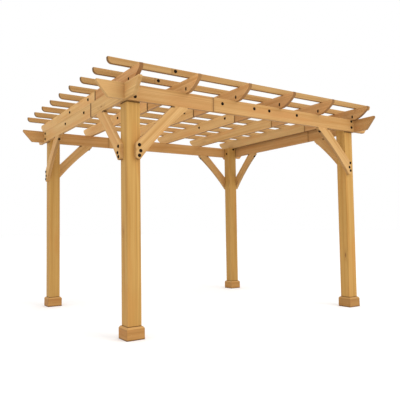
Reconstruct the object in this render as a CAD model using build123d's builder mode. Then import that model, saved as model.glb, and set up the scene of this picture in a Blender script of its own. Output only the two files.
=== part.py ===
import os
from math import cos, radians, sin, tan

from build123d import *

# An open garden pergola of planed cedar. Four square posts stand on the ground in base collars.
# Beams are bolted on the posts' outer faces and halved over each other at the corners, corner braces
# stiffen them, and rafters sit over the front and back beams and carry slats on their tops.
# The origin is on the ground in the middle of the posts, the front faces -Y and the sizes are millimetres.

# Posts
post_pitch_x = 2923.0
post_pitch_y = 2367.0
post_side = 135.0
post_arris_radius = 6.0

# Base collars round the feet of the posts
collar_board = 20.0
collar_height = 115.0
collar_bevel_drop = 15.0
collar_bevel_in = 12.0

# Boards of the beams, braces and rafters
board_thick = 38.0
ply_share = 0.5
board_ease = 2.5

# Beams on the posts' outer faces
beam_depth = 147.0
beam_underside = 2141.0
beam_overhang_x = 367.5
beam_overhang_y = 389.0
beam_nose = 20.0
beam_rake = 112.0
beam_outer_seam_x = 600.0
beam_inner_seam_x = 650.0
beam_outer_seam_y = 463.0
beam_inner_seam_y = 513.0
crossing_share = 0.5

# Corner braces under the beams
brace_width = 132.0
brace_reach = 394.0
brace_lap = 60.0
brace_tip_width = 43.0
brace_nose = 22.0
brace_hollow = 22.0
brace_round_share = 0.6
brace_angle_deg = 45.0

# Rafters across the front and back beams
rafter_count = 6
rafter_depth = 134.0
rafter_bite = 6.0
rafter_overhang = 332.0
rafter_nose = 32.0
rafter_round_run = 180.0
rafter_belly_out = 7.0
rafter_belly_down = 12.0
rafter_left_seam = 486.0
rafter_right_seam = 505.0

# Slats on top of the rafters
slat_count = 9
slat_setback = 171.5
slat_width = 38.0
slat_height = 58.0
slat_overhang = 292.0
slat_end_radius = 43.0
slat_lap_from_post = 383.0
slat_lap_length = 84.0

os.makedirs("parts", exist_ok=True)

# Places that follow from the sizes above
post_half = post_side / 2
ply = board_thick * ply_share
beam_top = beam_underside + beam_depth
rafter_underside = beam_top - rafter_bite
rafter_top = rafter_underside + rafter_depth
slat_top = rafter_top + slat_height
post_top = rafter_underside
rafter_first = -(post_pitch_x / 2 + post_half - board_thick / 2)
rafter_pitch = -2 * rafter_first / (rafter_count - 1)
rafter_tip = post_pitch_y / 2 + rafter_overhang
slat_first = slat_setback - rafter_tip
slat_pitch = -2 * slat_first / (slat_count - 1)
round_share = 1 - cos(radians(45))

corners = {
    "front_left": (-1, -1),
    "front_right": (1, -1),
    "back_right": (1, 1),
    "back_left": (-1, 1),
}

# Each side of the frame is drawn looking at it from outside, with its origin on the posts' outer faces
sides = {
    "front": Plane(origin=(0, -post_pitch_y / 2 - post_half, 0), x_dir=(1, 0, 0), z_dir=(0, -1, 0)),
    "right": Plane(origin=(post_pitch_x / 2 + post_half, 0, 0), x_dir=(0, 1, 0), z_dir=(1, 0, 0)),
    "back": Plane(origin=(0, post_pitch_y / 2 + post_half, 0), x_dir=(-1, 0, 0), z_dir=(0, 1, 0)),
    "left": Plane(origin=(-post_pitch_x / 2 - post_half, 0, 0), x_dir=(0, -1, 0), z_dir=(-1, 0, 0)),
}
spans = {"front": post_pitch_x, "right": post_pitch_y, "back": post_pitch_x, "left": post_pitch_y}
overhangs = {"front": beam_overhang_x, "right": beam_overhang_y, "back": beam_overhang_x, "left": beam_overhang_y}
inner_seams = {
    "front": beam_inner_seam_x,
    "right": -beam_inner_seam_y,
    "back": beam_inner_seam_x,
    "left": -beam_inner_seam_y,
}
outer_seams = {
    "front": -beam_outer_seam_x,
    "right": beam_outer_seam_y,
    "back": -beam_outer_seam_x,
    "left": beam_outer_seam_y,
}
ends = {
    "front": {-1: "left", 1: "right"},
    "right": {-1: "front", 1: "back"},
    "back": {-1: "right", 1: "left"},
    "left": {-1: "back", 1: "front"},
}


def keep(piece, label):
    piece.part.label = label
    export_step(piece.part, "parts/" + label + ".step")


def long_edges(piece, plane, thick):
    # The long edges of a board on its two broad faces, not those inside its lap
    along = piece.edges().filter_by(Axis((0, 0, 0), plane.x_dir))
    off = [abs(plane.to_local_coords(edge.center()).Z - thick / 2) for edge in along]
    return [edge for edge, away in zip(along, off) if away > thick / 2 - board_ease / 2]


# Posts: square timbers with eased long edges, flat under the foot and under the outer rafters
for corner, (to_x, to_y) in corners.items():
    with BuildPart() as post:
        with Locations((to_x * post_pitch_x / 2, to_y * post_pitch_y / 2)):
            Box(post_side, post_side, post_top, align=(Align.CENTER, Align.CENTER, Align.MIN))
        fillet(post.edges().filter_by(Axis.Z), radius=post_arris_radius)
    keep(post, "post_" + corner)

# Base collars: boards round the foot of each post, with a bevel that sheds water at the top
for corner, (to_x, to_y) in corners.items():
    with BuildPart() as collar:
        with Locations((to_x * post_pitch_x / 2, to_y * post_pitch_y / 2)):
            Box(
                post_side + 2 * collar_board,
                post_side + 2 * collar_board,
                collar_height,
                align=(Align.CENTER, Align.CENTER, Align.MIN),
            )
        crown = collar.faces().sort_by(Axis.Z)[-1]
        chamfer(crown.edges(), length=collar_bevel_in, length2=collar_bevel_drop, reference=crown)
        with Locations((to_x * post_pitch_x / 2, to_y * post_pitch_y / 2)):
            Box(
                post_side,
                post_side,
                collar_height,
                align=(Align.CENTER, Align.CENTER, Align.MIN),
                mode=Mode.SUBTRACT,
            )
    keep(collar, "base_" + corner)

# Beams: two boards each, joined by a long lap whose seams are staggered inside and out.
# Front and back beams are halved from below and the side beams from above where they cross.
for side, plane in sides.items():
    halved_below = side in ("front", "back")
    notch_share = crossing_share if halved_below else 1 - crossing_share
    notch_middle = beam_depth * notch_share / 2
    notch_z = beam_underside + notch_middle if halved_below else beam_top - notch_middle
    reach = spans[side] / 2 + overhangs[side]
    for end, end_name in ends[side].items():
        with BuildPart() as half:
            for near, thick, seam in (
                (plane, ply, inner_seams[side]),
                (plane.offset(ply), board_thick - ply, outer_seams[side]),
            ):
                with BuildSketch(near):
                    with BuildLine():
                        Polyline(
                            (seam, beam_underside),
                            (end * (reach - beam_rake), beam_underside),
                            (end * reach, beam_top - beam_nose),
                            (end * reach, beam_top),
                            (seam, beam_top),
                            close=True,
                        )
                    make_face()
                extrude(amount=thick)
            chamfer(long_edges(half, plane, board_thick), length=board_ease)
            with BuildSketch(plane):
                with Locations((end * (spans[side] / 2 + post_half + board_thick / 2), notch_z)):
                    Rectangle(board_thick, beam_depth * notch_share)
            extrude(amount=board_thick, mode=Mode.SUBTRACT)
        keep(half, "beam_" + side + "_" + end_name)

# Corner braces: boards in the plane of the beams, with a hollow lower edge and a rounded tongue
# on the post's outer face. Places on a brace are measured from the post's middle line, inwards along the beam.
brace_slope = tan(radians(brace_angle_deg))
brace_end = brace_reach + brace_width / sin(radians(brace_angle_deg))
tongue = post_half - brace_lap
tongue_round = brace_tip_width * brace_round_share
tip_z = beam_underside - (brace_end - tongue - brace_tip_width) * brace_slope
brace_heel = (brace_end - brace_nose, beam_underside - brace_nose * brace_slope)
brace_toe = (tongue + brace_tip_width, tip_z)
brace_waist = (
    (brace_heel[0] + brace_toe[0]) / 2 - brace_hollow * sin(radians(brace_angle_deg)),
    (brace_heel[1] + brace_toe[1]) / 2 + brace_hollow * cos(radians(brace_angle_deg)),
)
for side, plane in sides.items():
    for end, end_name in ends[side].items():
        outline = [
            (tongue, tip_z + tongue_round),
            (tongue, beam_underside - (brace_reach - tongue) * brace_slope),
            (brace_reach, beam_underside),
            (brace_end - brace_nose, beam_underside),
            brace_heel,
            brace_waist,
            brace_toe,
            (tongue + tongue_round, tip_z),
            (tongue + tongue_round * round_share, tip_z + tongue_round * round_share),
        ]
        places = [(end * (spans[side] / 2 - inward), height) for inward, height in outline]
        with BuildPart() as brace:
            with BuildSketch(plane):
                with BuildLine():
                    Polyline(*places[:5])
                    ThreePointArc(*places[4:7])
                    Line(places[6], places[7])
                    ThreePointArc(places[7], places[8], places[0])
                make_face()
            extrude(amount=board_thick)
            chamfer(brace.faces().filter_by(plane).sort_by(Axis((0, 0, 0), plane.z_dir))[-1].edges(), length=board_ease)
        keep(brace, "brace_" + side + "_" + end_name)

# Rafters: two boards each, lapped like the beams, rounded up to a blunt nose, notched over the long beams
for number in range(1, rafter_count + 1):
    face_x = rafter_first + (number - 1) * rafter_pitch - board_thick / 2
    plane = Plane(origin=(face_x, 0, 0), x_dir=(0, 1, 0), z_dir=(1, 0, 0))
    for end, end_name in ((-1, "front"), (1, "back")):
        nose = (end * rafter_tip, rafter_top - rafter_nose)
        heel = (end * (rafter_tip - rafter_round_run), rafter_underside)
        belly = (
            (nose[0] + heel[0]) / 2 + end * rafter_belly_out,
            (nose[1] + heel[1]) / 2 - rafter_belly_down,
        )
        crown = (end * rafter_tip, rafter_top)
        with BuildPart() as half:
            for near, thick, seam in (
                (plane, ply, -rafter_left_seam),
                (plane.offset(ply), board_thick - ply, rafter_right_seam),
            ):
                with BuildSketch(near):
                    with BuildLine():
                        Polyline(heel, (seam, rafter_underside), (seam, rafter_top), crown, nose)
                        ThreePointArc(nose, belly, heel)
                    make_face()
                extrude(amount=thick)
            chamfer(long_edges(half, plane, board_thick), length=board_ease)
            with BuildSketch(plane):
                with Locations((end * (post_pitch_y / 2 + post_half + board_thick / 2), rafter_underside)):
                    Rectangle(board_thick, rafter_bite, align=(Align.CENTER, Align.MIN))
            extrude(amount=board_thick, mode=Mode.SUBTRACT)
        keep(half, "rafter_" + str(number) + "_" + end_name)

# Slats: one long board each and a short board at the left end, lapped and bolted beside the first rafter
slat_tip = post_pitch_x / 2 + slat_overhang
lap_middle = -post_pitch_x / 2 + slat_lap_from_post
slat_ply = slat_width * ply_share
back_seam = lap_middle + slat_lap_length / 2
front_seam = lap_middle - slat_lap_length / 2


def slat_board(slat_y, end):
    plane = Plane(origin=(0, slat_y + slat_width / 2, 0), x_dir=(1, 0, 0), z_dir=(0, -1, 0))
    bend_top = (end * slat_tip, rafter_top + slat_end_radius)
    bend_foot = (end * (slat_tip - slat_end_radius), rafter_top)
    bend = (end * (slat_tip - slat_end_radius * round_share), rafter_top + slat_end_radius * round_share)
    with BuildPart() as board:
        for near, thick, seam in (
            (plane, slat_ply, back_seam),
            (plane.offset(slat_ply), slat_width - slat_ply, front_seam),
        ):
            with BuildSketch(near):
                with BuildLine():
                    Polyline(bend_foot, (seam, rafter_top), (seam, slat_top), (end * slat_tip, slat_top), bend_top)
                    ThreePointArc(bend_top, bend, bend_foot)
                make_face()
            extrude(amount=thick)
        chamfer(long_edges(board, plane, slat_width), length=board_ease)
    return board


slat_places = [slat_first + place * slat_pitch for place in range(slat_count)]
for number, slat_y in enumerate(slat_places, start=1):
    keep(slat_board(slat_y, 1), "slat_" + str(number))

# Short boards that finish the slats at the left end
short_boards = [slat_board(slat_y, -1).part for slat_y in slat_places]
with BuildPart() as slat_ends:
    add(short_boards)
keep(slat_ends, "slat_ends")
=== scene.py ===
import bpy
import math
import random
from mathutils import Matrix, Vector


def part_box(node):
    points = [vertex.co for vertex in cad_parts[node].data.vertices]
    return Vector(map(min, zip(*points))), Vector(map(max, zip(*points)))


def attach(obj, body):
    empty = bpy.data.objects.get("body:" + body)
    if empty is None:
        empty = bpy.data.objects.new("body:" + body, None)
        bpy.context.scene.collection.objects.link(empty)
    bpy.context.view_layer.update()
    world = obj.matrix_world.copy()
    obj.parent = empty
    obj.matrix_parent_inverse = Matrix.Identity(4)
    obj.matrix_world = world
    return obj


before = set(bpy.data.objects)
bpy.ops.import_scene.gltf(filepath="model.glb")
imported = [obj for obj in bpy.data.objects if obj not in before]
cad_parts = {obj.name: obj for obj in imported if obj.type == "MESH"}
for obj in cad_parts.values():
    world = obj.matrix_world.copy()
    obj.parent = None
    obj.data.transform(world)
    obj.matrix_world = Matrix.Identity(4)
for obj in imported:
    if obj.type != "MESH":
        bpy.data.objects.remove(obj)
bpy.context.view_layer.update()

# Posts: four square cedar posts, each planed on all sides from one length of
# timber, with rounded long edges and a clear oil that turns the wood honey
# coloured. They stand upright in the base collars, and all the rest is bolted to them.


class Surface:
    """A number, colour or vector that changes over a surface: one socket of a material."""

    def __init__(self, tree, socket=None):
        self.tree = tree
        self.socket = socket

    def node(self, kind, settings=None, sockets=None, output=0):
        """Adds a node of any kind: first its settings, then its sockets' values or links."""
        made = self.tree.nodes.new(kind)
        for name, value in (settings or {}).items():
            if name == "stops":
                stops = made.color_ramp.elements
                while len(stops) < len(value):
                    stops.new(1.0)
                for stop, (place, colour) in zip(stops, value):
                    stop.position = place
                    stop.color = (*colour, 1.0)
            else:
                setattr(made, name, value)
        for name, value in (sockets or {}).items():
            if isinstance(value, Surface):
                self.tree.links.new(value.socket, made.inputs[name])
            else:
                made.inputs[name].default_value = value
        return Surface(self.tree, made.outputs[output])

    def maths(self, operation, *values):
        return self.node("ShaderNodeMath", {"operation": operation}, dict(enumerate(values)))

    def __add__(self, other):
        return self.maths("ADD", self, other)

    __radd__ = __add__

    def __sub__(self, other):
        return self.maths("SUBTRACT", self, other)

    def __rsub__(self, other):
        return self.maths("SUBTRACT", other, self)

    def __mul__(self, other):
        return self.maths("MULTIPLY", self, other)

    __rmul__ = __mul__

    def __abs__(self):
        return self.maths("ABSOLUTE", self)

    def over(self, other):
        return self.maths("GREATER_THAN", self, other)

    def larger(self, other):
        return self.maths("MAXIMUM", self, other)

    def rise(self, low, high):
        """0 below low, 1 above high, with a soft step between them."""
        return self.node("ShaderNodeMapRange", {"interpolation_type": "SMOOTHSTEP"},
                         {"Value": self, "From Min": low, "From Max": high})

    def on_part(self):
        """The place on the part, in the part's own frame."""
        return self.node("ShaderNodeTexCoord", output=3)

    def split(self):
        """The x, y and z of this place or facing."""
        made = self.tree.nodes.new("ShaderNodeSeparateXYZ")
        self.tree.links.new(self.socket, made.inputs["Vector"])
        return [Surface(self.tree, socket) for socket in made.outputs]

    def measured(self, way):
        """How far this place or facing reaches along a way."""
        return self.node("ShaderNodeVectorMath", {"operation": "DOT_PRODUCT"},
                         {0: self, 1: way}, output=1)

    def stretched(self, scale, shift=(0.0, 0.0, 0.0)):
        """This place in the board, drawn out along the grain and moved to another cut of the
        tree."""
        return self.node("ShaderNodeVectorMath", {"operation": "MULTIPLY_ADD"},
                         {0: self, 1: scale, 2: shift})

    def tinted(self, colour, amount):
        """This colour with another laid over it by an amount from 0 to 1."""
        return self.node("ShaderNodeMix", {"data_type": "RGBA"},
                         {0: amount, 6: self, 7: (*colour, 1.0)}, output=2)


def scaled(colour, *shares):
    """A colour with each part times its share, or all times one share, and none past white."""
    shares = shares * 3 if len(shares) == 1 else shares
    return [min(1.0, part * share) for part, share in zip(colour, shares)]


def new_finish(name):
    """A new material, and a Surface to start its nodes from."""
    material = bpy.data.materials.new(name)
    material.use_nodes = True
    return material, Surface(material.node_tree)


def finished(material, values):
    """The material, with values or Surfaces put into its shader."""
    tree = material.node_tree
    shader = tree.nodes["Principled BSDF"]
    for name, value in values.items():
        if isinstance(value, Surface):
            tree.links.new(value.socket, shader.inputs[name])
        else:
            shader.inputs[name].default_value = value
    return material


def oiled_cedar(name, place_in_board, along, half_across, half_through, tone, cut,
                seams=(), end_dark=0.7, under_shade=0.6, shade_line=None, painted_highlight=None):
    """Cedar of one board. place_in_board(start) gives its x along the grain, y across and z
    through. tone is the mean colour and cut numbers the piece of the tree. seams are
    (x, side of z, half width) of lap ends, end_dark and the next argument say how far cut ends
    are darkened and how far undersides are darkened with painted shade, shade_line(start) gives
    1 where shade is painted along a joint, and along dark mitre lines, and the last argument
    gives where a painted highlight lightens the wood."""
    material, start = new_finish(name)
    chance = random.Random(cut)
    place = place_in_board(start)
    length_at, across_at, through_at = place.split()
    drift_reach = 40.0
    drift = [chance.uniform(-drift_reach, drift_reach) for _ in range(3)]

    # knots: a few small oval ones, which the rings bend round
    knot_grid = place.stretched((2.2, 8.0, 8.0), drift)
    knot_odds, knot_edge, halo_edge = (0.76, 0.78), (0.035, 0.085), (0.06, 0.30)
    knot_cells = {"Vector": knot_grid, "Scale": 1.0}
    knot_reach = start.node("ShaderNodeTexVoronoi", {}, knot_cells)
    knot_pick = start.node("ShaderNodeTexVoronoi", {}, knot_cells, output=1)
    knotted = start.node("ShaderNodeSeparateColor", {}, {"Color": knot_pick}).rise(*knot_odds)
    knot = (1 - knot_reach.rise(*knot_edge)) * knotted
    halo = (1 - knot_reach.rise(*halo_edge)) * knotted

    # growth rings round a heart that lies outside the board, with late wood darker than early wood
    heart = (0.0, chance.choice((-1, 1)) * chance.uniform(0.03, 0.09),
             chance.choice((-1, 1)) * chance.uniform(0.05, 0.12))
    ring_taper, bend_across, bend_through = 0.045, 0.010, 0.006
    straight_rings = place.stretched((ring_taper, 1.0, 1.0), heart)
    bend = start.node("ShaderNodeCombineXYZ", {},
                      {"Y": halo * bend_across, "Z": halo * bend_through})
    ring_place = start.node("ShaderNodeVectorMath", {"operation": "ADD"},
                            {0: straight_rings, 1: bend})
    rings = start.node("ShaderNodeTexWave",
                       {"wave_type": "RINGS", "rings_direction": "X", "wave_profile": "SAW"},
                       {"Vector": ring_place, "Scale": chance.uniform(38.0, 58.0),
                        "Distortion": 5.0, "Detail": 2.0, "Detail Scale": 0.30,
                        "Detail Roughness": 0.55, "Phase Offset": chance.uniform(0.0, 6.0)},
                       output=1)
    late_wood = rings.rise(0.35, 1.0)

    # fine fibres, broad bands of tone and a patchy red flush along the board
    fibres = start.node("ShaderNodeTexNoise", {},
                        {"Vector": place.stretched((5.0, 330.0, 330.0), drift), "Scale": 1.0,
                         "Detail": 3.0, "Roughness": 0.6})
    bands = start.node("ShaderNodeTexNoise", {},
                       {"Vector": place.stretched((0.8, 30.0, 30.0), drift), "Scale": 1.0,
                        "Detail": 2.5, "Roughness": 0.55})
    flush = start.node("ShaderNodeTexNoise", {},
                       {"Vector": place.stretched((1.7, 9.0, 9.0), drift[::-1]), "Scale": 1.0,
                        "Detail": 1.5})
    mean = scaled(tone, chance.uniform(0.95, 1.05))
    pale = scaled(mean, 1.10, 1.14, 1.22)
    deep = scaled(mean, 0.86, 0.78, 0.66)
    red = scaled(mean, 1.00, 0.84, 0.76)
    knot_brown = (0.16, 0.060, 0.020)
    colour = start.node("ShaderNodeValToRGB",
                        {"stops": [(0.30, deep), (0.50, mean), (0.72, pale)]}, {"Fac": bands})
    colour = colour.tinted(red, flush.rise(0.50, 0.70) * 0.55)
    colour = colour.tinted(scaled(deep, 0.62), late_wood * 0.34)
    colour = colour.tinted(scaled(deep, 0.55), fibres.rise(0.56, 0.80) * 0.30)
    colour = colour.tinted(scaled(red, 0.50), halo * 0.25)
    colour = colour.tinted(knot_brown, knot * 0.75)

    # cut ends drink more oil, so they are darker; undersides are darkened with painted shade,
    #     and faces turned upwards are lightened with a painted highlight
    normal = start.node("ShaderNodeNewGeometry", output=1)
    end_cut = abs(normal.measured(along)).rise(0.35, 0.95)
    faces_up = normal.split()[2]
    faces_down = faces_up * -1
    colour = colour.tinted(scaled(red, 0.26), end_cut * end_dark)
    colour = colour.tinted(scaled(red, 0.34), faces_down.rise(0.40, 0.95) * under_shade)
    colour = colour.tinted(scaled(pale, 1.25), faces_up.rise(0.25, 0.75) * 0.45)

    # long edges rubbed pale, then the stain and the dark line along the end of each lap
    rubbed_edge, seam_stain, face_blur = (0.0015, 0.0075), (0.004, 0.034), 0.004
    line_core, line_rim = 0.7, 1.3
    seam_brown, shade_brown = (0.075, 0.030, 0.007), (0.070, 0.030, 0.009)
    arris = (half_across - abs(across_at)).larger(half_through - abs(through_at))
    rubbed = (1 - arris.rise(*rubbed_edge)) * flush.rise(0.36, 0.60)
    colour = colour.tinted(scaled(pale, 1.12), rubbed * 0.35)
    for seam_at, side, seam_half in seams:
        near = abs(length_at - seam_at)
        on_face = (through_at * side).rise(-face_blur, face_blur)
        stain = (1 - near.rise(*seam_stain)) * on_face
        line = (1 - near.rise(seam_half * line_core, seam_half * line_rim)) * on_face
        colour = colour.tinted(scaled(deep, 0.60), stain * 0.35)
        colour = colour.tinted(seam_brown, line * 0.94)
    # a painted highlight, where one is asked for
    if painted_highlight:
        colour = colour.tinted(scaled(pale, 1.18, 1.32, 1.42), painted_highlight(start) * 0.45)
    # painted shade along joints, and dark mitre lines, where asked for
    if shade_line:
        colour = colour.tinted(shade_brown, shade_line(start) * 0.80)

    gloss = 0.50 + fibres * 0.16 + end_cut * 0.18 + rubbed * 0.08 - late_wood * 0.05
    height = rings * 0.55 + fibres * 0.60 - knot * 0.8
    bump = start.node("ShaderNodeBump", {},
                      {"Strength": 0.30, "Distance": 0.0009, "Height": height})
    return finished(material, {"Base Color": colour, "Roughness": gloss, "Normal": bump,
                               "Specular IOR Level": 0.10})


def straight_board(centre, along, face):
    """Gives the place in a board from its middle: x along the grain, y across and z out of its
    broad face."""
    turn = Matrix((along, Vector(face).cross(along), face)).transposed().to_euler()

    def place_in_board(start):
        return start.node("ShaderNodeMapping", {"vector_type": "TEXTURE"},
                          {"Vector": start.on_part(), "Location": centre, "Rotation": turn})

    return place_in_board


def dress(node, material):
    """Puts a material on a piece of the frame."""
    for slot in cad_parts[node].material_slots:
        slot.material = material


x_way, y_way, z_way = Vector((1, 0, 0)), Vector((0, 1, 0)), Vector((0, 0, 1))
corners = ("front_left", "front_right", "back_right", "back_left")
post_tone = (0.480, 0.270, 0.076)
first_post_cut = 11
low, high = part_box("post_front_left")
post_half = (high.x - low.x) / 2
beams_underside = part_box("beam_front_left")[0].z
collar_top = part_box("base_front_left")[1].z
line_depth, line_edge = 0.007, 0.005
line_foot = beams_underside - 0.013
line_top = collar_top + 0.004
post_middle = {}
for number, corner in enumerate(corners):
    low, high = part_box("post_" + corner)
    middle = (low + high) / 2
    post_middle[corner] = middle

    def shaded_joints(start, middle=middle):
        """Painted shade lines on a post: on its outer faces just under the beams, and all round it
        above the collar, where the joints would hold shade."""
        x, y, z = start.on_part().split()
        out_x = (x - middle.x) * math.copysign(1.0, middle.x)
        out_y = (y - middle.y) * math.copysign(1.0, middle.y)
        on_outer_face = out_x.larger(out_y).over(post_half - line_depth)
        under_beams = on_outer_face * z.rise(line_foot, line_foot + line_edge)
        return under_beams.larger(1 - z.rise(line_top, line_top + line_edge))

    dress("post_" + corner,
          oiled_cedar("cedar_post_" + corner, straight_board(middle, z_way, x_way), z_way,
                      post_half, post_half, post_tone, first_post_cut + number,
                      shade_line=shaded_joints))

# Base collars: four short bevelled cedar boards, mitred at the corners and nailed
# round the foot of each post. The grain runs level round all four sides.
collar_tone = (0.450, 0.232, 0.072)
# painted shade: the front right collar is made darker than the others
collar_shade = {"front_right": 0.88}
first_collar_cut = 31
collar_half_thick = 0.010
collar_board_shift = 2.7
collar_bevel_drop = 0.015
bevel_foot = collar_top - collar_bevel_drop
mitre_line, foot_line, bevel_shadow = (0.0012, 0.0030), (0.005, 0.013), (0.030, 0.080)
shadow_end, highlight_below, highlight_above = 0.004, 0.003, 0.002


def bevel_highlight(start):
    """The bevel of a collar, lightened with a painted highlight."""
    z = start.on_part().split()[2]
    return z.rise(bevel_foot - highlight_below, bevel_foot + highlight_above) * 0.8


for number, corner in enumerate(corners):
    low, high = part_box("base_" + corner)
    middle = (low + high) / 2

    def place_in_collar(start, middle=middle):
        """The place in a board of a collar: x along it, y up and z out, each of other wood."""
        x, y, z = start.on_part().split()
        x, y, z = x - middle.x, y - middle.y, z - middle.z
        on_side = (abs(x) - abs(y)).over(0.0)
        run = x + on_side * (y - x)
        board = on_side * x.over(0.0) + (1 - on_side) * (y.over(0.0) + 2)
        out = abs(x).larger(abs(y)) - (post_half + collar_half_thick)
        return start.node("ShaderNodeCombineXYZ", {},
                          {"X": run + board * collar_board_shift, "Y": z, "Z": out})

    def mitres_and_foot(start, middle=middle):
        """The dark mitre lines at a collar's corners, the painted contact shadow along its foot
        and the faint painted shade under its bevel."""
        x, y, z = start.on_part().split()
        off_mitre = abs(abs(x - middle.x) - abs(y - middle.y))
        mitre = (1 - off_mitre.rise(*mitre_line)) * 0.6
        below_bevel = 1 - z.rise(bevel_foot - shadow_end, bevel_foot)
        under_bevel = z.rise(*bevel_shadow) * below_bevel * 0.11
        return mitre.larger(1 - z.rise(*foot_line)).larger(under_bevel)

    dress("base_" + corner,
          oiled_cedar("cedar_collar_" + corner, place_in_collar, (0, 0, 0),
                      (high.z - low.z) / 2, collar_half_thick,
                      scaled(collar_tone, collar_shade.get(corner, 1.0)),
                      first_collar_cut + number,
                      shade_line=mitres_and_foot, painted_highlight=bevel_highlight))

# Beams: two boards a side, bolted to the outer faces of the posts, joined by a long
# half lap and halved over the crossing beam at each corner. Cedar, with raked ends.
# each side's tone holds its own cedar colour and painted light and shade for how brightly that side
# is lit
beam_tone = {"front": (0.470, 0.262, 0.094), "left": (0.622, 0.378, 0.147),
             "right": (0.504, 0.275, 0.102), "back": (0.525, 0.290, 0.106)}
beam_end_dark = {"front": 0.25, "left": 0.25, "right": 0.60, "back": 0.25}
beam_seam_half = {"front": 0.0032, "left": 0.0120, "right": 0.0030, "back": 0.0015}
seam_outer = {"front": -0.600, "back": 0.600, "left": -0.463, "right": 0.463}
seam_inner = {"front": 0.650, "back": -0.650, "left": 0.513, "right": -0.513}
beam_runs = {"front": ("left", "right"), "right": ("front", "back"),
             "back": ("right", "left"), "left": ("back", "front")}
outward = {"front": -y_way, "back": y_way, "left": -x_way, "right": x_way}
beams_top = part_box("beam_front_left")[1].z
side_beam_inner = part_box("beam_right_front")[0].x
end_highlight_run = (1.53, 1.62)
strip_face, strip_run = (0.008, 0.020), (1.10, 1.20)
strip_foot, strip_full = 0.055, 0.025


def beam_way(side):
    """The way along the beam of a side: to the right, or to the back."""
    return x_way if side in ("front", "back") else y_way


def end_highlight(start):
    """The free left end of the front beam, lightened with a painted highlight."""
    to_left = start.on_part().split()[0] * -1
    return to_left.rise(*end_highlight_run)


def end_rafter_shadow(start):
    """Painted shadow of the end rafter, on a strip along the inner face of a side beam."""
    x, y, z = start.on_part().split()
    inner = 1 - abs(x).rise(side_beam_inner + strip_face[0], side_beam_inner + strip_face[1])
    between_posts = 1 - abs(y).rise(*strip_run)
    return inner * between_posts * z.rise(beams_top - strip_foot, beams_top - strip_full) * 0.32


cut = 50
for side, ends in beam_runs.items():
    along = beam_way(side)
    for end in ends:
        node = f"beam_{side}_{end}"
        low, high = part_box(node)
        middle, half = (low + high) / 2, (high - low) / 2
        half_thick = half.dot(Vector([abs(part) for part in outward[side]]))
        at = middle.dot(along)
        seam_half = beam_seam_half[side]
        seams = ((seam_outer[side] - at, 1, seam_half), (seam_inner[side] - at, -1, seam_half))
        cut += 1
        dress(node, oiled_cedar("cedar_" + node, straight_board(middle, along, outward[side]),
                                along, half.z, half_thick, beam_tone[side], cut, seams,
                                end_dark=beam_end_dark[side], under_shade=0.5,
                                shade_line=end_rafter_shadow if side in ("left", "right") else None,
                                painted_highlight=end_highlight if node == "beam_front_left" else None))

# Braces: one short cedar board in each beam's plane at each post, sawn at 45 degrees, with a
# hollow lower edge and a rounded tongue that lies on the post and takes three bolts.
brace_tone = (0.555, 0.326, 0.124)
# painted light and shade: two braces are made lighter or darker than the rest
brace_shade = {"front_left": 0.96, "left_front": 1.12}
brace_half_width, brace_half_thick = 0.066, 0.019
brace_upper_edge = 0.394
brace_drop = 0.190
corner_run, corner_foot, corner_full = (0.010, 0.034), 0.026, 0.010


def post_at(side, end):
    """The middle of the post at one end of a side's beam."""
    return post_middle.get(f"{side}_{end}") or post_middle[f"{end}_{side}"]


for side, ends in beam_runs.items():
    level = beam_way(side)
    for end in ends:
        node = f"brace_{side}_{end}"
        low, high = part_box(node)
        run = post_at(side, end).dot(level)
        inward = -math.copysign(1.0, run)
        along = (inward * level + z_way).normalized()
        middle = (low + high) / 2
        step_in = brace_upper_edge + brace_half_width * math.sqrt(2.0) - brace_drop
        middle += level * (run + inward * step_in - middle.dot(level))
        middle.z = beams_underside - brace_drop

        def corner_shade(start, level=level, run=run, inward=inward):
            """Painted shade in the corner where a brace's upper edge meets the underside of the
            beam.
            """
            place = start.on_part()
            past_edge = (place.measured(level) - run) * inward - brace_upper_edge
            z = place.split()[2]
            under_beam = z.rise(beams_underside - corner_foot, beams_underside - corner_full)
            return under_beam * (1 - past_edge.rise(*corner_run))

        cut += 1
        dress(node, oiled_cedar("cedar_" + node, straight_board(middle, along, outward[side]),
                                along, brace_half_width, brace_half_thick,
                                scaled(brace_tone, brace_shade.get(f"{side}_{end}", 1.0)), cut,
                                end_dark=0.20, under_shade=0.85, shade_line=corner_shade))

# Rafters: six cedar boards from front to back, notched over the beams, each of two lengths
# half lapped in the middle. Their ends are rounded up to a blunt nose, and the front lengths
# are browner than the back ones.
rafter_tone = (0.715, 0.440, 0.178)
# painted light and shade: each rafter is made lighter or darker by how brightly it is lit
rafter_shade = (1.02, 1.10, 1.07, 0.98, 0.92, 0.80)
rafter_seam_half = (0.0120, 0.0105, 0.0090, 0.0060, 0.0045, 0.0045)
rafter_brown = (0.300, 0.048, 0.005)
rafter_browned = {"front": (0.39, 0.17, 0.26, 0.35, 0.31, 0.23), "back": (0.0,) * 6}
rafter_end_dark = {"front": 0.80, "back": 0.85}
# painted shade on the rafters' undersides
rafter_under_shade = {"front": 0.85, "back": 0.95}
rafter_count = 6
seam_left_face, seam_right_face = -0.486, 0.505
for count in range(1, rafter_count + 1):
    plain = scaled(rafter_tone, rafter_shade[count - 1])
    seam_half = rafter_seam_half[count - 1]
    for end in ("front", "back"):
        node = f"rafter_{count}_{end}"
        browned = rafter_browned[end][count - 1]
        tone = [part + browned * (brown - part) for part, brown in zip(plain, rafter_brown)]
        low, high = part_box(node)
        middle, half = (low + high) / 2, (high - low) / 2
        seams = ((seam_left_face - middle.y, 1, seam_half),
                 (seam_right_face - middle.y, -1, seam_half))
        cut += 1
        dress(node, oiled_cedar("cedar_" + node, straight_board(middle, y_way, -x_way), y_way,
                                half.z, half.x, tone, cut, seams,
                                end_dark=rafter_end_dark[end],
                                under_shade=rafter_under_shade[end]))

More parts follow.
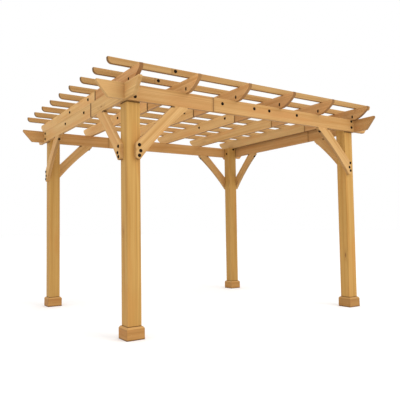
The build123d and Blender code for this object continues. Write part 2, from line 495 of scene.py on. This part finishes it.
# Slats: nine thin cedar bars laid across the rafters and screwed down, each made longer
# at the left by a short piece in a bolted lap. The lower corners of their ends are rounded.
slat_tone = (0.408, 0.237, 0.088)
# painted light: the slats behind the first are made lighter; the second number on the next line is
# painted shade on their undersides
first_slat_shade, slat_shade = 1.0, 1.11
slat_end_dark, slat_under_shade = 0.8, 0.70
slat_count = 9
slat_seam_front, slat_seam_back, slat_seam_half = -1.1205, -1.0365, 0.0025
slat_end_shift = 3.1
slat_middle = {}
for count in range(1, slat_count + 1):
    node = f"slat_{count}"
    low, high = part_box(node)
    middle, slat_half = (low + high) / 2, (high - low) / 2
    slat_middle[count] = middle
    seams = ((slat_seam_front - middle.x, 1, slat_seam_half),
             (slat_seam_back - middle.x, -1, slat_seam_half))
    cut += 1
    dress(node, oiled_cedar("cedar_" + node, straight_board(middle, x_way, -y_way), x_way,
                            slat_half.z, slat_half.y,
                            scaled(slat_tone, first_slat_shade if count == 1 else slat_shade),
                            cut, seams, end_dark=slat_end_dark, under_shade=slat_under_shade))
low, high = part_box("slat_ends")
slat_ends_middle = (low + high) / 2
first_slat_y = slat_middle[1].y
slat_pitch = slat_middle[2].y - first_slat_y


def place_in_slat_ends(start):
    """The place in a short end: x along it, y up and z to the front, each of other wood."""
    x, y, z = start.on_part().split()
    which = start.maths("ROUND", (y - first_slat_y) * (1 / slat_pitch))
    through = y - first_slat_y - which * slat_pitch
    return start.node("ShaderNodeCombineXYZ", {},
                      {"X": x - slat_ends_middle.x + which * slat_end_shift,
                       "Y": z - slat_ends_middle.z, "Z": through * -1})


cut += 1
dress("slat_ends", oiled_cedar("cedar_slat_ends", place_in_slat_ends, x_way,
                               slat_half.z, slat_half.y, slat_tone, cut,
                               end_dark=slat_end_dark, under_shade=slat_under_shade))

# Bolts: black coated coach bolts with a hexagon head on a round washer. They hold the
# beams and the brace tongues to the posts, the lapped boards together, and the rafters down.


def black_coating():
    """Baked black coating, rubbed to a dull grey in patches."""
    material, start = new_finish("black_coated_steel")
    place = start.on_part()
    speckle = start.node("ShaderNodeTexNoise", {}, {"Vector": place, "Scale": 900.0, "Detail": 2.0})
    smear = start.node("ShaderNodeTexNoise", {}, {"Vector": place, "Scale": 140.0, "Detail": 2.0})
    rub = smear.rise(0.58, 0.78)
    dull_black, worn_black = (0.009, 0.005, 0.003), (0.020, 0.012, 0.006)
    bare_grey = (0.050, 0.032, 0.018)
    colour = start.node("ShaderNodeValToRGB",
                        {"stops": [(0.35, dull_black), (0.70, worn_black)]}, {"Fac": speckle})
    bump = start.node("ShaderNodeBump", {},
                      {"Strength": 0.25, "Distance": 0.0002, "Height": speckle})
    return finished(material, {"Base Color": colour.tinted(bare_grey, rub * 0.40),
                               "Roughness": 0.55 + speckle * 0.16 - rub * 0.10,
                               "Normal": bump, "Specular IOR Level": 0.05})


def fastener_tree(name):
    """Geometry nodes that set a washer, a hexagon and a stub of thread at each point, along its
    facing."""
    tree = bpy.data.node_groups.new(name, "GeometryNodeTree")
    sockets = {"Geometry": "NodeSocketGeometry", "Washer radius": "NodeSocketFloat",
               "Washer thickness": "NodeSocketFloat", "Across flats": "NodeSocketFloat",
               "Hexagon height": "NodeSocketFloat", "Thread radius": "NodeSocketFloat",
               "Thread length": "NodeSocketFloat", "Sunk": "NodeSocketFloat",
               "Width share": "NodeSocketFloat", "Turn": "NodeSocketFloat",
               "Turn seed": "NodeSocketInt", "Finish": "NodeSocketMaterial"}
    for label, kind in sockets.items():
        tree.interface.new_socket(label, in_out="INPUT", socket_type=kind)
    tree.interface.new_socket("Geometry", in_out="OUTPUT", socket_type="NodeSocketGeometry")
    given = tree.nodes.new("NodeGroupInput").outputs
    result = tree.nodes.new("NodeGroupOutput")

    def add(kind, settings=None, **links):
        """Adds a node. A link's label is its socket's name, or its number after a low line."""
        made = tree.nodes.new(kind)
        for label, value in (settings or {}).items():
            setattr(made, label, value)
        for label, value in links.items():
            target = made.inputs[int(label[1:])] if label[0] == "_" else made.inputs[label]
            if isinstance(value, bpy.types.NodeSocket):
                tree.links.new(value, target)
            else:
                target.default_value = value
        return made

    def sums(operation, a, b):
        return add("ShaderNodeMath", {"operation": operation}, _0=a, _1=b).outputs[0]

    def turned(radius, height, sides, base, chamfer):
        """A closed prism on the wood's face, with its upper edge chamfered."""
        low_part = sums("SUBTRACT", height, chamfer)
        prism = add("GeometryNodeMeshCylinder", {"fill_type": "NGON"}, Vertices=sides,
                    Radius=radius, Depth=low_part)
        rise = sums("ADD", sums("MULTIPLY", low_part, 0.5), base)
        up = add("ShaderNodeCombineXYZ", None, Z=rise).outputs[0]
        lifted = add("GeometryNodeTransform", None, Geometry=prism.outputs["Mesh"], Translation=up)
        normal = add("GeometryNodeInputNormal").outputs[0]
        facing_up = add("ShaderNodeSeparateXYZ", None, Vector=normal).outputs[2]
        top = sums("GREATER_THAN", facing_up, 0.9)
        drawn = add("GeometryNodeExtrudeMesh", {"mode": "FACES"}, Mesh=lifted.outputs[0],
                    Selection=top, **{"Offset Scale": chamfer})
        shrink = sums("SUBTRACT", 1.0, sums("DIVIDE", chamfer, radius))
        return add("GeometryNodeScaleElements", {"domain": "FACE"}, Geometry=drawn.outputs[0],
                   Selection=drawn.outputs["Top"], Scale=shrink).outputs[0]

    washer_sides, hexagon_sides, thread_sides = 20, 6, 10
    washer_chamfer, hexagon_chamfer, thread_chamfer = 0.0007, 0.0011, 0.0008
    bedded = 0.0004
    below = sums("MULTIPLY", given["Sunk"], -1.0)
    washer_height = sums("ADD", given["Washer thickness"], given["Sunk"])
    washer = turned(given["Washer radius"], washer_height, washer_sides, below, washer_chamfer)
    half_corners = sums("MULTIPLY", given["Across flats"], 1.0 / math.sqrt(3.0))
    washer_top = sums("SUBTRACT", given["Washer thickness"], bedded)
    hexagon = turned(half_corners, given["Hexagon height"], hexagon_sides, washer_top,
                     hexagon_chamfer)
    thread = turned(given["Thread radius"], given["Thread length"], thread_sides, washer_top,
                    thread_chamfer)
    joined = add("GeometryNodeJoinGeometry")
    for shape in (washer, hexagon, thread):
        tree.links.new(shape, joined.inputs[0])
    facing = add("GeometryNodeInputNamedAttribute", {"data_type": "FLOAT_VECTOR"}, Name="facing")
    aim = add("FunctionNodeAlignRotationToVector", {"axis": "Z"}, Vector=facing.outputs[0])
    upright = add("FunctionNodeAlignRotationToVector", {"axis": "Y", "pivot_axis": "Z"},
                  Rotation=aim.outputs[0], Vector=(0.0, 0.0, 1.0))
    spin = add("FunctionNodeRandomValue", {"data_type": "FLOAT"}, _2=0.0, _3=given["Turn"],
               Seed=given["Turn seed"])
    spin_turn = add("FunctionNodeAxisAngleToRotation", None, Axis=(0.0, 0.0, 1.0),
                    Angle=spin.outputs[1])
    both = add("FunctionNodeRotateRotation", {"rotation_space": "LOCAL"},
               Rotation=upright.outputs[0], _1=spin_turn.outputs[0])
    shape_scale = add("ShaderNodeCombineXYZ", None, X=given["Width share"], Y=1.0, Z=1.0)
    points = add("GeometryNodeMeshToPoints", None, Mesh=given["Geometry"])
    set_out = add("GeometryNodeInstanceOnPoints", None, Points=points.outputs[0],
                  Instance=joined.outputs[0], Rotation=both.outputs[0],
                  Scale=shape_scale.outputs[0])
    real = add("GeometryNodeRealizeInstances", None, Geometry=set_out.outputs[0])
    coated = add("GeometryNodeSetMaterial", None, Geometry=real.outputs[0],
                 Material=given["Finish"])
    tree.links.new(coated.outputs[0], result.inputs[0])
    return tree


def set_out_fasteners(name, places, tree, sizes, finish):
    """Makes one mesh of like fasteners at (place, facing) pairs with a geometry nodes tree."""
    points = bpy.data.meshes.new(name + "_points")
    points.from_pydata([place for place, _ in places], [], [])
    facing = points.attributes.new("facing", "FLOAT_VECTOR", "POINT")
    facing.data.foreach_set("vector", [part for _, way in places for part in way])
    piece = bpy.data.objects.new(name, points)
    bpy.context.scene.collection.objects.link(piece)
    modifier = piece.modifiers.new("set_out", "NODES")
    modifier.node_group = tree
    for item in tree.interface.items_tree:
        if item.in_out == "INPUT" and item.name in sizes:
            modifier[item.identifier] = sizes[item.name]
        elif item.in_out == "INPUT" and item.name == "Finish":
            modifier[item.identifier] = finish
    bpy.context.view_layer.update()
    seen = piece.evaluated_get(bpy.context.evaluated_depsgraph_get())
    made = bpy.data.meshes.new_from_object(seen)
    piece.modifiers.clear()
    piece.data = made
    bpy.data.meshes.remove(points)
    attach(piece, "root")


bolt_black = black_coating()
hex_fastener = fastener_tree("hexagon_on_washer")
beam_face = {"front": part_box("beam_front_left")[0].y, "back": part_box("beam_back_left")[1].y,
             "left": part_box("beam_left_front")[0].x, "right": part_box("beam_right_front")[1].x}


def on_beam(side, run, height):
    """A place on a beam's outer face, run metres along it from mid-span, and its facing."""
    place = beam_way(side) * run + outward[side] * abs(beam_face[side]) + z_way * height
    return place, outward[side]


lap_bolts = {"front": ((-0.486, 2.235), (-0.069, 2.235), (0.140, 2.236), (0.552, 2.235)),
             "left": ((-0.264, 2.227), (0.354, 2.223))}
lap_bolts["back"] = tuple((-run, height) for run, height in lap_bolts["front"])
lap_bolts["right"] = tuple((-run, height) for run, height in lap_bolts["left"])
bolts, nuts = [], []
for side, spots in lap_bolts.items():
    for run, height in spots:
        bolts.append(on_beam(side, run, height))

post_bolts = {"front_right": ((-0.018, 2.192), (-0.018, 2.267))}
post_bolts_plain = ((0.0, 2.177), (0.0, 2.250))
tongue_bolts = {"front_left": ((0.0395, 1.740), (0.0525, 1.687), (0.0395, 1.644)),
                "left_front": ((0.0325, 1.735), (0.0485, 1.678), (0.0295, 1.639)),
                "front_right": ((0.0235, 1.749), (0.0395, 1.696), (0.0215, 1.655))}
tongue_bolts_plain = ((0.033, 1.741), (0.047, 1.687), (0.032, 1.646))
brace_lag_step, brace_lag_height, brace_lag_lean = 0.5272, 2.0938, 0.109
for side, ends in beam_runs.items():
    level = beam_way(side)
    for end in ends:
        run = post_at(side, end).dot(level)
        inward = -math.copysign(1.0, run)
        for step, height in post_bolts.get(f"{side}_{end}", post_bolts_plain):
            bolts.append(on_beam(side, run + inward * step, height))
        for step, height in tongue_bolts.get(f"{side}_{end}", tongue_bolts_plain):
            bolts.append(on_beam(side, run + inward * step, height))
        place = on_beam(side, run + inward * brace_lag_step, brace_lag_height)[0]
        lag_way = inward * level * (1 - brace_lag_lean) - z_way * (1 + brace_lag_lean)
        bolts.append((place - outward[side] * brace_half_thick, lag_way.normalized()))

rafter_bolt_run, rafter_bolt_height = 1.297, 2.323
rafter_lap_bolts = ((-0.286, 2.368), (0.312, 2.357))
rafters_bolted_from_left = 4
rafter_bolts = []
for count in range(1, rafter_count + 1):
    low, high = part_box(f"rafter_{count}_front")
    rafter_bolts.append((Vector((low.x, -rafter_bolt_run, rafter_bolt_height)), -x_way))
    rafter_bolts.append((Vector((high.x, rafter_bolt_run, rafter_bolt_height)), x_way))
    face, way = (low.x, -x_way) if count <= rafters_bolted_from_left else (high.x, x_way)
    for run, height in rafter_lap_bolts:
        bolts.append((Vector((face, run, height)), way))

slat_bolt_x, slat_bolt_lift = -1.0785, 0.004
for count in range(1, slat_count + 1):
    low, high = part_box(f"slat_{count}")
    height = slat_middle[count].z + slat_bolt_lift
    bolts.append((Vector((slat_bolt_x, low.y, height)), -y_way))
    nuts.append((Vector((slat_bolt_x, high.y, height)), y_way))

bolt_sizes = {"Washer radius": 0.0165, "Washer thickness": 0.0026, "Across flats": 0.0210,
              "Hexagon height": 0.0060, "Thread radius": 0.0045, "Thread length": 0.0060,
              "Sunk": 0.0010, "Width share": 1.0, "Turn": math.tau, "Turn seed": 7}
set_out_fasteners("bolt_heads", bolts, hex_fastener, bolt_sizes, bolt_black)
rafter_bolt_sizes = {**bolt_sizes, "Washer radius": 0.0200, "Washer thickness": 0.0016,
                     "Hexagon height": 0.0040, "Thread length": 0.0030, "Width share": 0.55,
                     "Turn": 0.0, "Turn seed": 13}
set_out_fasteners("rafter_bolt_heads", rafter_bolts, hex_fastener, rafter_bolt_sizes,
                  bolt_black)

# Nuts: black hexagon nuts on washers at the far ends of the bolts that go right through:
# one for each beam on the inner faces of a post, and one behind each slat's lap, with a
# few turns of thread standing past each nut.
nut_out = {"front": (0.018, 2.261), "back": (0.018, 2.261),
           "left": (0.0, 2.191), "right": (0.0, 2.191)}
for corner in corners:
    middle = post_middle[corner]
    for side, (step, height) in nut_out.items():
        level = beam_way(side)
        if middle.dot(outward[side]) > 0.0:
            place = Vector((middle.x, middle.y, height)) - outward[side] * post_half
            nuts.append((place + level * math.copysign(step, middle.dot(level)), -outward[side]))
nut_sizes = {**bolt_sizes, "Washer thickness": 0.0020, "Across flats": 0.0190,
             "Hexagon height": 0.0080, "Thread radius": 0.0048, "Thread length": 0.0130,
             "Turn seed": 19}
set_out_fasteners("lap_nuts", nuts, hex_fastener, nut_sizes, bolt_black)

# Slat screws: yellow passivated countersunk screws, driven flush into the top of each
# slat where it lies on a rafter.


def yellow_plating():
    """Dull yellow plating, mottled from deep to pale yellow."""
    material, start = new_finish("yellow_plated_steel")
    cloud = start.node("ShaderNodeTexNoise", {},
                       {"Vector": start.on_part(), "Scale": 420.0, "Detail": 2.0})
    deep_yellow, pale_yellow = (0.46, 0.29, 0.09), (0.62, 0.47, 0.22)
    colour = start.node("ShaderNodeValToRGB",
                        {"stops": [(0.35, deep_yellow), (0.70, pale_yellow)]}, {"Fac": cloud})
    return finished(material, {"Base Color": colour, "Roughness": 0.30 + cloud * 0.25,
                               "Metallic": 0.9})


screw_brass = yellow_plating()
screws = []
for count in range(1, slat_count + 1):
    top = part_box(f"slat_{count}")[1].z
    for rafter in range(1, rafter_count + 1):
        low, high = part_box(f"rafter_{rafter}_front")
        screws.append((Vector(((low.x + high.x) / 2, slat_middle[count].y, top)), z_way))
screw_sizes = {"Washer radius": 0.0047, "Washer thickness": 0.0006, "Across flats": 0.0046,
               "Hexagon height": 0.0014, "Thread radius": 0.0012, "Thread length": 0.0012,
               "Sunk": 0.0020, "Width share": 1.0, "Turn": math.tau, "Turn seed": 23}
set_out_fasteners("slat_screws", screws, hex_fastener, screw_sizes, screw_brass)

# Collar nails: small yellow plated steel nails, two in each board of a base collar,
# driven level through the board into the post until the head is nearly flush.
nails = []
nail_step, nail_height = 0.045, 0.050
for corner in corners:
    low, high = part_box("base_" + corner)
    middle = (low + high) / 2
    reach = (high.x - low.x) / 2
    for side, way in outward.items():
        for step in (-nail_step, nail_step):
            place = Vector((middle.x, middle.y, nail_height)) + way * reach
            nails.append((place + beam_way(side) * step, way))
nail_sizes = {"Washer radius": 0.0026, "Washer thickness": 0.0005, "Across flats": 0.0030,
              "Hexagon height": 0.0013, "Thread radius": 0.0010, "Thread length": 0.0012,
              "Sunk": 0.0015, "Width share": 1.0, "Turn": math.tau, "Turn seed": 29}
set_out_fasteners("collar_nails", nails, hex_fastener, nail_sizes, screw_brass)

# Studio: a plain pale floor, even soft light from all round with a large soft lamp at the
# front and a weak one at the left, and the photograph's camera, at the front left and a
# little below eye level.
floor_reach = 60.0
floor_corners = [(x * floor_reach, y * floor_reach, 0.0)
                 for x, y in ((-1, -1), (1, -1), (1, 1), (-1, 1))]
floor_mesh = bpy.data.meshes.new("studio_floor")
floor_mesh.from_pydata(floor_corners, [], [(0, 1, 2, 3)])
floor = bpy.data.objects.new("studio_floor", floor_mesh)
bpy.context.scene.collection.objects.link(floor)
floor_paint = new_finish("pale_floor")[0]
floor_mesh.materials.append(
    finished(floor_paint, {"Base Color": (0.93, 0.93, 0.93, 1.0), "Roughness": 0.9,
                           "Specular IOR Level": 0.1, "Emission Color": (1.0, 1.0, 1.0, 1.0),
                           "Emission Strength": 0.12}))

sky = bpy.data.worlds.new("soft_studio")
bpy.context.scene.world = sky
sky.use_nodes = True
sky_light = sky.node_tree.nodes["Background"]
sky_light.inputs["Color"].default_value = (1.0, 1.0, 1.0, 1.0)
sky_light.inputs["Strength"].default_value = 1.0
bpy.context.scene.view_settings.view_transform = "Standard"


def soft_lamp(name, place, target, width, power):
    """A large square lamp aimed at a point."""
    lamp = bpy.data.lights.new(name, "AREA")
    lamp.size = width
    lamp.energy = power
    holder = bpy.data.objects.new(name, lamp)
    holder.location = place
    holder.rotation_euler = (Vector(target) - Vector(place)).to_track_quat("-Z", "Y").to_euler()
    bpy.context.scene.collection.objects.link(holder)


soft_lamp("front_lamp", place=(3.0, -9.0, 6.0), target=(0.0, 0.0, 1.2), width=6.0, power=340.0)
soft_lamp("left_lamp", place=(-9.0, -6.0, 5.0), target=(0.0, 0.0, 1.5), width=6.0, power=45.0)

camera = bpy.data.cameras.new("photo_camera")
camera.sensor_fit = "HORIZONTAL"
camera.sensor_width = 36.0
camera.lens = 43.811
eye = bpy.data.objects.new("photo_camera", camera)
eye_place = Vector((-3.3708, -5.2239, 0.9859))
eye_yaw, eye_pitch, eye_roll = 0.5829, 0.0565, -0.0148
eye.matrix_world = (Matrix.Translation(eye_place) @ Matrix.Rotation(-eye_yaw, 4, "Z")
                    @ Matrix.Rotation(math.pi / 2 + eye_pitch, 4, "X")
                    @ Matrix.Rotation(eye_roll, 4, "Z"))
bpy.context.scene.collection.objects.link(eye)
bpy.context.scene.camera = eye

bpy.context.view_layer.update()
